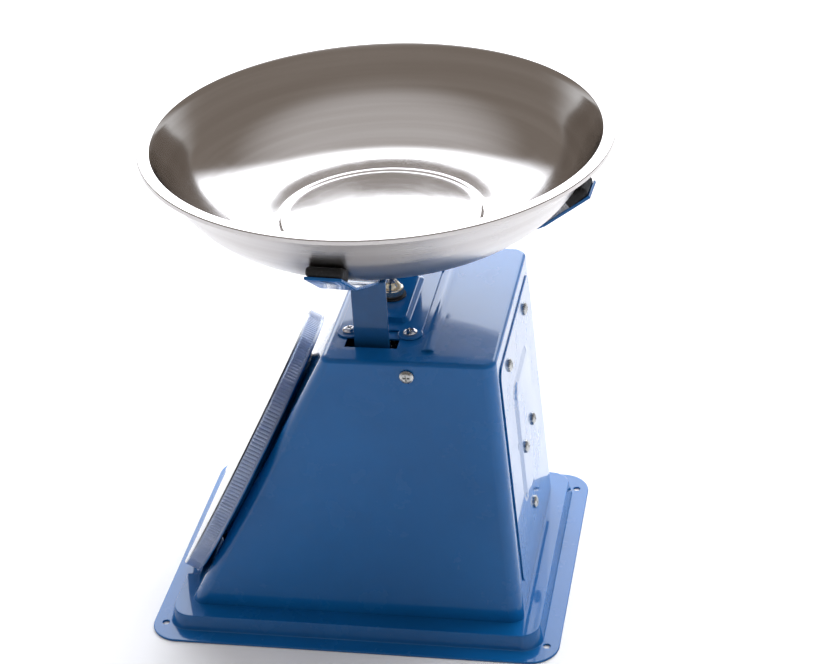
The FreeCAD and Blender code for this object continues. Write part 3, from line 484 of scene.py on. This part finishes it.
def makePads():
    for side in ("right", "left", "front", "back"):
        bm = merged("pad_" + side)
        middle = sum((v.co for v in bm.verts), Vector()) / len(bm.verts)
        reach = (middle - Vector(bowlMiddle)).xy.normalized()

        def isOuter(edge):
            place = (edge.verts[0].co + edge.verts[1].co) / 2
            return (place - middle).xy.dot(reach) > 2 * mm

        eased(bm, 2.6 * mm, 5, 30, isOuter)
        finished("rubberPad_" + side, bm, ["rubber"], "pad_" + side)


makeCase()
makeTray()
makeSheets()
makePads()
print("case, base, strips and pads made")


# Screws and knob

def makeScrews():
    for node in ("side_screws", "back_cover_screws", "top_plate_screws", "base_screws", "holder_screw",
                 "dial_pan_screws", "beam_screws"):
        look = "zinc" if node in ("side_screws", "back_cover_screws") else "chrome"
        finished("finished_" + node, eased(merged(node), 0.14 * mm, 2, 40), [look], node)


def makeKnob():
    knob = {"radius": 8, "low": 210.5, "dome": 219.9, "grips": 40}
    x, y = 0, joints["zero_turn"]["pos_m"][1]
    wide, low, high = knob["radius"], knob["low"], knob["dome"]
    points = [(3.5, low), (wide - 0.5, low), (wide, low + 0.5), (wide, low + 4.6), (wide - 0.5, low + 5.1),
              (wide - 1.1, low + 5.3)]
    points += [(6.4, low + 6.3), (5.6, low + 7.5), (4.8, low + 8.4), (4.2, high), (3.5, high)]
    bm = turned(points, 2 * knob["grips"])
    for v in bm.verts:
        reach = v.co.xy.length
        if reach > (wide - 0.1) * mm:
            step = round(math.atan2(v.co.y, v.co.x) / (math.pi / knob["grips"]))
            v.co.xy *= 0.965 if step % 2 else 1
    moved(bm, Matrix.Translation((x, y, 0)))
    finished("zeroKnobCap", bm, ["nickel"], "zero_knob", sharp=28)


makeScrews()
makeKnob()
print("screws and knob made")


# Dial

def makeDialCover():
    cover = {"radius": 97, "lip": 98, "low": 4.4, "high": 15.7, "wall": 2, "edge": 1.2, "ribs": 240, "ribDepth": 0.4}
    wide, lip, low, high, edge = (cover[k] for k in ("radius", "lip", "low", "high", "edge"))
    inner = wide - cover["wall"]
    points = [(inner, low), (lip, low), (lip, low + 1.1), (wide, low + 1.2), (wide, low + 1.6),
              (wide, high - edge - 0.5), (wide, high - edge - 0.2)]
    points += arc((wide - edge, high - edge), edge, 0, 90, 6)
    points += [(60, high), (0, high), (0, high - 1.6), (60, high - 1.6), (inner - 0.8, high - 1.6), (inner, high - 2.4)]
    bm = bmesh.new()
    verts = [bm.verts.new((r * mm, 0, h * mm)) for r, h in points]
    edges = [bm.edges.new((a, b)) for a, b in zip(verts, verts[1:] + verts[:1]) if not (a.co.x == 0 and b.co.x == 0)]
    spin(bm, verts + edges, steps=3 * cover["ribs"])
    for v in bm.verts:
        reach = v.co.xy.length
        if abs(reach - wide * mm) < 0.02 * mm and (low + 1.5) * mm < v.co.z < (high - edge - 0.4) * mm:
            step = round(math.atan2(v.co.y, v.co.x) / (2 * math.pi / (3 * cover["ribs"])))
            v.co.xy *= 1 - (cover["ribDepth"] / wide if step % 3 == 0 else 0)
    for face in bm.faces:
        place = face.calc_center_median()
        face.material_index = 1 if place.xy.length > (inner - 1) * mm and place.z < (high - 0.9) * mm else 0
    moved(bm, onDial)
    finished("dialCoverMoulding", bm, ["clear", "ribbed"], "dial_cover", sharp=20, weighted=False)


def textMesh(words, size, place, turn=0.0, thick=0.03):
    curve = bpy.data.curves.new("figure", "FONT")
    curve.body = words
    curve.size = size * mm
    curve.align_x = "CENTER"
    curve.align_y = "CENTER"
    curve.extrude = thick * mm
    curve.resolution_u = 3
    holder = bpy.data.objects.new("figure", curve)
    bpy.context.scene.collection.objects.link(holder)
    bpy.context.view_layer.update()
    mesh = bpy.data.meshes.new_from_object(holder.evaluated_get(bpy.context.evaluated_depsgraph_get()))
    mesh.transform(Matrix.Translation(Vector(place) * mm) @ Matrix.Rotation(turn, 4, "Z"))
    bpy.data.objects.remove(holder)
    return mesh


def makeDialPrint():
    dial = {"faceTop": 5.2, "whole": 20, "sweep": 324.0, "outer": 89, "long": 10, "middle": 7, "short": 4.5,
            "figures": 70, "figureSize": 9.5}
    high = dial["faceTop"] + 0.04
    bm = bmesh.new()
    parts = dial["whole"] * 10
    for i in range(parts + 1):
        length = dial["long"] if i % 10 == 0 else dial["middle"] if i % 5 == 0 else dial["short"]
        width = 0.9 if i % 10 == 0 else 0.55 if i % 5 == 0 else 0.35
        made = bmesh.ops.create_cube(bm, size=1)["verts"]
        bmesh.ops.scale(bm, vec=(width * mm, length * mm, 0.08 * mm), verts=made)
        bmesh.ops.translate(bm, vec=(0, (dial["outer"] - length / 2) * mm, high * mm), verts=made)
        turn = -math.radians(dial["sweep"] * i / parts)
        bmesh.ops.rotate(bm, cent=(0, 0, 0), matrix=Matrix.Rotation(turn, 3, "Z"), verts=made)
    for i in range(dial["whole"]):
        turn = math.radians(dial["sweep"] * i / dial["whole"])
        reach = dial["figures"]
        mesh = textMesh(str(i), dial["figureSize"], (reach * math.sin(turn), reach * math.cos(turn), high))
        bm.from_mesh(mesh)
    bm.from_mesh(textMesh("kg", 14, (0, -37, high)))
    bm.from_mesh(textMesh("20 kg x 100 g", 5.6, (0, -50, high)))
    moved(bm, onDial)
    finished("dialPrint", bm, ["ink"], [], body="stand", sharp=30, weighted=False)
    band = turned([(90.2, high - 0.03), (90.8, high - 0.03), (90.8, high + 0.03), (90.2, high + 0.03)], 180)
    inner = turned([(57.6, high - 0.03), (58.2, high - 0.03), (58.2, high + 0.03), (57.6, high + 0.03)], 144)
    mesh = bpy.data.meshes.new("ring")
    inner.to_mesh(mesh)
    band.from_mesh(mesh)
    moved(band, onDial)
    finished("dialRings", band, ["redInk"], [], body="stand", weighted=False)


def makePointer():
    finished("pointerBlade", eased(merged("pointer"), 0.15 * mm, 2, 35), ["redInk"], "pointer")
    hub = eased(merged("pointer_cap"), 0.3 * mm, 3, 35)
    finished("pointerHub", hub, ["plastic"], "pointer_cap")


makeDialCover()
makeDialPrint()
makePointer()
print("dial made")


# Springs

def makeSprings():
    spring = {"radius": 7.5, "wire": 0.55, "turns": 13, "low": 125.2, "high": 164.8, "steps": 20}
    for side, node in ((-1, "spring_left"), (1, "spring_right")):
        low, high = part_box(node)
        x, y = (low.x + high.x) / 2, (low.y + high.y) / 2
        bm = bmesh.new()
        made = bmesh.ops.create_circle(bm, cap_ends=True, radius=spring["wire"] * mm, segments=8)
        turn = Matrix.Rotation(math.pi / 2, 4, "X")
        bmesh.ops.transform(bm, matrix=Matrix.Translation((spring["radius"] * mm, 0, 0)) @ turn, verts=made["verts"])
        rise = (spring["high"] - spring["low"]) * mm / (spring["turns"] * spring["steps"])
        bmesh.ops.spin(bm, geom=bm.faces[:] + bm.edges[:] + bm.verts[:], cent=(0, 0, 0), axis=(0, 0, 1),
                       dvec=(0, 0, rise), angle=spring["turns"] * 2 * math.pi,
                       steps=spring["turns"] * spring["steps"], use_duplicate=False)
        bmesh.ops.remove_doubles(bm, verts=bm.verts, dist=0.002 * mm)
        bmesh.ops.recalc_face_normals(bm, faces=bm.faces)
        moved(bm, Matrix.Translation((x, y, spring["low"] * mm)))
        piece = finished("coil_" + node, bm, ["spring"], node, body="none", weighted=False)
        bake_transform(piece)


makeSprings()
print("springs made")


# Finishes for the CAD pieces that stay

def dressFrame():
    looks = {"blue_enamel": "blue", "spring_steel": "spring", "brass": "brass", "black_rubber": "rubber",
             "black_plastic": "plastic", "clear_plastic": "clear", "dial_white": "face", "pointer_red": "redInk",
             "zinc_steel": "zinc", "stainless": "bowlOutside"}
    for part in record["subparts"]:
        for place in frame["nodes"][part["node"]].material_slots:
            place.material = finishes[looks[part["material_slot"]]]


dressFrame()


# Floor, light and camera

def makeStudio():
    mesh = bpy.data.meshes.new("floorPlane")
    bm = bmesh.new()
    bmesh.ops.create_grid(bm, x_segments=1, y_segments=1, size=60)
    bm.to_mesh(mesh)
    bm.free()
    floor = bpy.data.objects.new("floorPlane", mesh)
    bpy.context.scene.collection.objects.link(floor)
    f = Finish("paleFloor")
    f.set("Base Color", f.blendColours(f.noise(3, 3), (0.86, 0.87, 0.88, 1), (0.89, 0.89, 0.90, 1)))
    f.set("Roughness", 0.85 + f.noise(40, 2) * 0.1)
    mesh.materials.append(f.material)


def softLight(name, place, aim, size, watts):
    light = bpy.data.lights.new(name, "AREA")
    light.shape = "RECTANGLE"
    light.size, light.size_y = size
    light.energy = watts
    holder = bpy.data.objects.new(name, light)
    bpy.context.scene.collection.objects.link(holder)
    holder.location = place
    holder.visible_glossy = False
    holder.rotation_euler = (Vector(aim) - Vector(place)).to_track_quat("-Z", "Y").to_euler()


def makeLights():
    softLight("overheadSoft", (-0.7, 0.5, 2.2), (0, 0, 0.15), (1.6, 1.6), 28)
    softLight("backSoft", (-2.0, 0.6, 1.3), (0, 0, 0.2), (2.4, 1.2), 14)
    softLight("sideSoft", (-0.3, 2.1, 1.2), (0, 0, 0.2), (1.8, 1.2), 15)
    softLight("frontSoft", (-0.5, -2.1, 1.1), (0, 0, 0.15), (1.6, 1.2), 13)
    room = {"walls": (0.26, 0.225, 0.20, 1), "window": (4.4, 4.6, 5.0, 1), "horizon": (0.82, 0.83, 0.85, 1),
            "ceiling": (0.62, 0.60, 0.60, 1), "strength": 1.0}
    world = bpy.data.worlds.new("paleRoom")
    bpy.context.scene.world = world
    world.use_nodes = True
    f = Graph(world.node_tree, "Generated")
    x, y, z, _ = f.parted()
    colour = f.blendColours(f.between(z, 0.55, 0.95), room["walls"], room["ceiling"])
    colour = f.blendColours(f.between(z, 0.02, 0.24), room["horizon"], colour)
    aimed = 0.46 * z - 0.88 * x - 0.1 * y
    colour = f.blendColours(f.between(aimed, 0.78, 0.95), colour, room["window"])
    back = f.tree.nodes["Background"]
    f.feed(back.inputs[0], colour)
    back.inputs[1].default_value = room["strength"]
    bpy.context.scene.view_settings.view_transform = "Standard"


def makeCamera():
    shot = {"place": (1.2183, 0.2845, 0.8902), "yaw": 11.6, "pitch": 30.0, "roll": -3.6, "focal": 2173.4, "wide": 828,
            "dropped": 13}
    yaw, pitch, roll = (math.radians(shot[k]) for k in ("yaw", "pitch", "roll"))
    ahead = Vector((-math.cos(yaw) * math.cos(pitch), -math.sin(yaw) * math.cos(pitch), -math.sin(pitch)))
    right = ahead.cross(Vector((0, 0, 1))).normalized()
    up = right.cross(ahead)
    turnedRight = right * math.cos(roll) + up * math.sin(roll)
    turnedUp = up * math.cos(roll) - right * math.sin(roll)
    camera = bpy.data.cameras.new("mainCamera")
    camera.sensor_width = 36
    camera.lens = shot["focal"] * 36 / shot["wide"]
    camera.shift_y = shot["dropped"] / shot["wide"]
    camera.clip_start, camera.clip_end = 0.05, 30
    holder = bpy.data.objects.new("mainCamera", camera)
    bpy.context.scene.collection.objects.link(holder)
    turn = Matrix((turnedRight, turnedUp, -ahead)).transposed()
    holder.matrix_world = Matrix.Translation(shot["place"]) @ turn.to_4x4()
    bpy.context.scene.camera = holder


makeStudio()
makeLights()
makeCamera()
print("studio ready")
